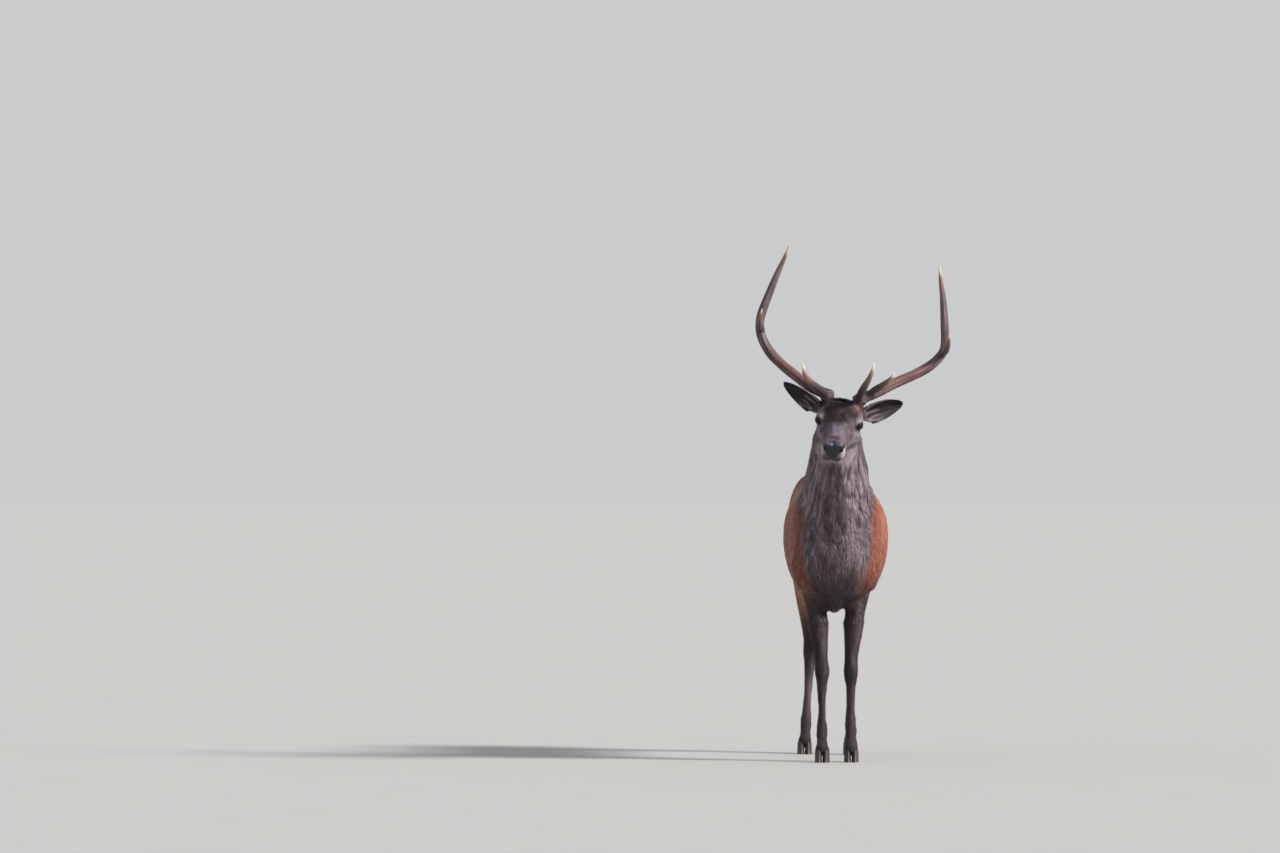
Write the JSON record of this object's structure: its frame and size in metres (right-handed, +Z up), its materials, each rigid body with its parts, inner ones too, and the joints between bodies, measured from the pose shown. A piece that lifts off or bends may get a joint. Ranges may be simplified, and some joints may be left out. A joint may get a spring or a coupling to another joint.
{
  "type": "red deer stag",
  "caption": "Life-size red deer stag standing still and facing ahead, with branched antlers, spread ears and cloven hooves flat on the floor.",
  "frame": {"origin": "middle of the whole animal's box, on the floor under the hooves", "axes": "+Z up; the stag faces -Y and its left side is +X"},
  "size_m": [0.7728, 1.5961, 2.0715],
  "materials": {
    "rufous_coat": "matte",
    "grey_coat": "matte",
    "leg_coat": "matte",
    "antler": "satin",
    "hoof": "satin",
    "eye": "gloss"
  },
  "bodies": {
    "root": {"antler_beam_lower_left": "antler", "antler_beam_lower_right": "antler", "antler_beam_upper_left": "antler", "antler_beam_upper_right": "antler", "antler_bez_tine_left": "antler", "antler_brow_tine_left": "antler", "antler_brow_tine_right": "antler", "antler_tray_tine_left": "antler", "antler_tray_tine_right": "antler", "dewclaw_foreleg_left_a": "hoof", "dewclaw_foreleg_left_b": "hoof", "dewclaw_foreleg_right_a": "hoof", "dewclaw_foreleg_right_b": "hoof", "dewclaw_hindleg_left_a": "hoof", "dewclaw_hindleg_left_b": "hoof", "dewclaw_hindleg_right_a": "hoof", "dewclaw_hindleg_right_b": "hoof", "ear_left": "grey_coat", "ear_right": "grey_coat", "eye_left": "eye", "eye_right": "eye", "foreleg_left_lower": "leg_coat", "foreleg_left_upper": "leg_coat", "foreleg_right_lower": "leg_coat", "foreleg_right_upper": "leg_coat", "head": "grey_coat", "hindleg_left_lower": "leg_coat", "hindleg_left_shank": "leg_coat", "hindleg_left_thigh": "rufous_coat", "hindleg_right_lower": "leg_coat", "hindleg_right_shank": "leg_coat", "hindleg_right_thigh": "rufous_coat", "hoof_foreleg_left_a": "hoof", "hoof_foreleg_left_b": "hoof", "hoof_foreleg_right_a": "hoof", "hoof_foreleg_right_b": "hoof", "hoof_hindleg_left_a": "hoof", "hoof_hindleg_left_b": "hoof", "hoof_hindleg_right_a": "hoof", "hoof_hindleg_right_b": "hoof", "neck": "grey_coat", "tail": "rufous_coat", "trunk": "rufous_coat"}
  },
  "joints": []
}
